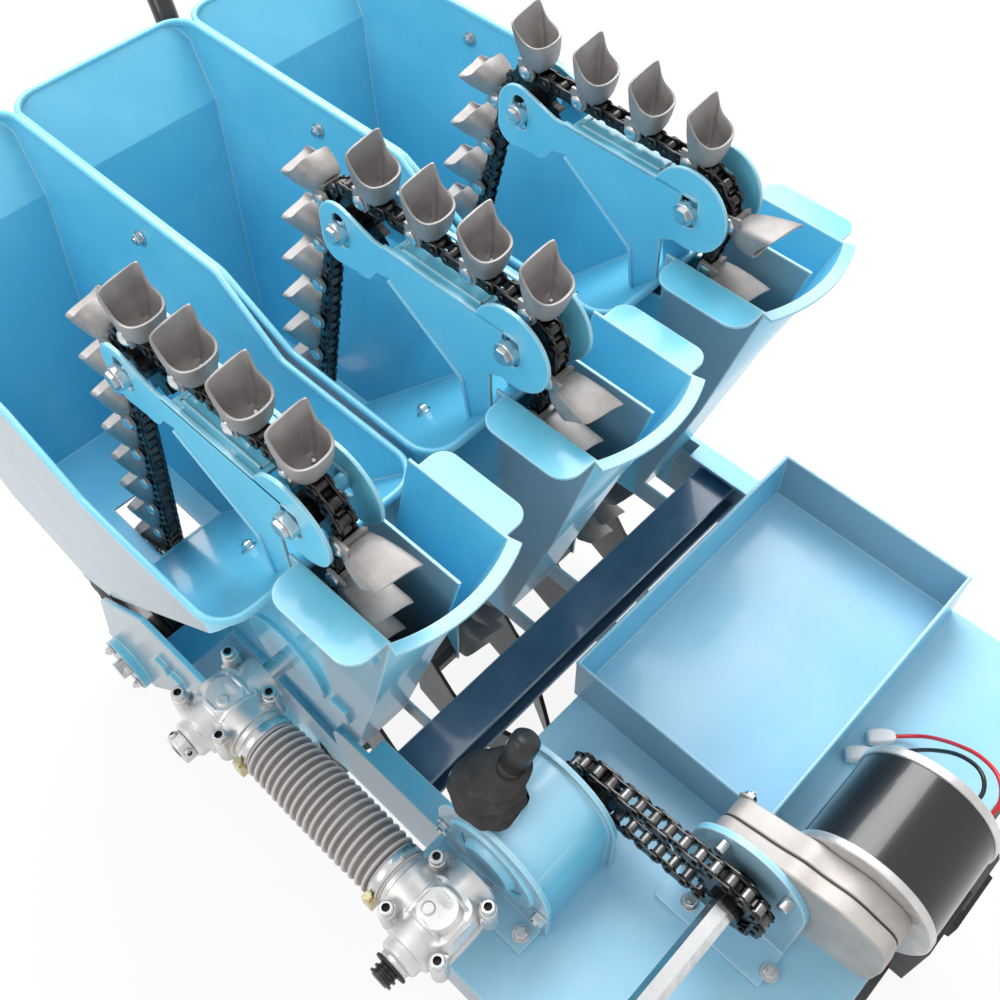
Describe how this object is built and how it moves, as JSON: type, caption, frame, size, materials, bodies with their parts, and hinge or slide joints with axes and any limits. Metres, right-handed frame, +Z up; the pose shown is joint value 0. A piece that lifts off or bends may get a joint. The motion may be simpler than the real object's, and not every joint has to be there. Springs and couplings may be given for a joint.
{
  "type": "three-row garlic planter",
  "caption": "Walk-behind row planter: open seed hoppers with cup-chain elevators, furrow openers and an electric drive on a wheeled frame.",
  "frame": {"origin": "on the ground under the middle of the machine's bounding box, leads left out", "axes": "+X to the right across the rows, -Y the way it travels with the deck in front, +Z up"},
  "size_m": [0.608, 1.5404, 0.8905],
  "materials": {
    "blue_paint": "gloss light blue powder coat",
    "dark_steel": "satin dark grey",
    "chain_steel": "oiled black steel, grey cast cups",
    "black_paint": "gloss black",
    "cast_alloy": "cast, lightly polished",
    "grey_plastic": "satin grey corrugated",
    "black_rubber": "matt",
    "black_plastic": "satin",
    "zinc_steel": "bright zinc",
    "motor_paint": "gloss black with bright end caps",
    "red_cable": "flexible lead",
    "black_cable": "flexible lead",
    "white_plastic": "moulded",
    "tyre": "matt"
  },
  "bodies": {
    "frame": {"arm_1": "blue_paint", "arm_2": "blue_paint", "arm_3": "blue_paint", "axle_hangers": "blue_paint", "battery_tray": "blue_paint", "bearing_plates": "blue_paint", "chute_1": "blue_paint", "chute_2": "blue_paint", "chute_3": "blue_paint", "clutch_housing": "blue_paint", "cross_beam": "blue_paint", "cup_chain_1": "chain_steel", "cup_chain_2": "chain_steel", "cup_chain_3": "chain_steel", "deck": "blue_paint", "drive_shaft": "zinc_steel", "front_bar": "dark_steel", "gearbox_front": "cast_alloy", "gearbox_rear": "cast_alloy", "handle_brace": "black_paint", "handlebar_left": "black_paint", "handlebar_right": "black_paint", "hex_shaft": "zinc_steel", "hopper_1": "blue_paint", "hopper_2": "blue_paint", "hopper_3": "blue_paint", "hose": "grey_plastic", "inner_plate_left": "blue_paint", "inner_plate_right": "blue_paint", "lever": "black_plastic", "lever_boot": "black_rubber", "lever_plate": "zinc_steel", "motor": "motor_paint", "motor_bracket": "blue_paint", "motor_foot": "dark_steel", "opener_1": "black_paint", "opener_2": "black_paint", "opener_3": "black_paint", "outer_plate_left": "blue_paint", "outer_plate_right": "blue_paint", "plug_black": "white_plastic", "plug_red": "white_plastic", "rear_stubs": "zinc_steel", "rear_tube": "blue_paint", "reducer": "cast_alloy", "side_chain": "chain_steel", "side_sprockets": "chain_steel", "sprockets": "chain_steel", "wire_black": "black_cable", "wire_red": "red_cable"},
    "front_wheels": {"front_axle": "zinc_steel", "front_tyres": "tyre", "front_rims": "black_paint"},
    "rear_wheel_left": {"rear_tyre_left": "tyre", "rear_rim_left": "black_paint"},
    "rear_wheel_right": {"rear_tyre_right": "tyre", "rear_rim_right": "black_paint"}
  },
  "joints": [
    {"name": "front_wheels_turn", "type": "hinge", "parent": "frame", "child": "front_wheels", "pos_m": [0.018, -0.61068, 0.15951], "axis": [1, 0, 0], "continuous": true},
    {"name": "rear_wheel_left_turn", "type": "hinge", "parent": "frame", "child": "rear_wheel_left", "pos_m": [-0.209, -0.02968, 0.15951], "axis": [1, 0, 0], "continuous": true},
    {"name": "rear_wheel_right_turn", "type": "hinge", "parent": "frame", "child": "rear_wheel_right", "pos_m": [0.245, -0.02968, 0.15951], "axis": [1, 0, 0], "continuous": true}
  ]
}
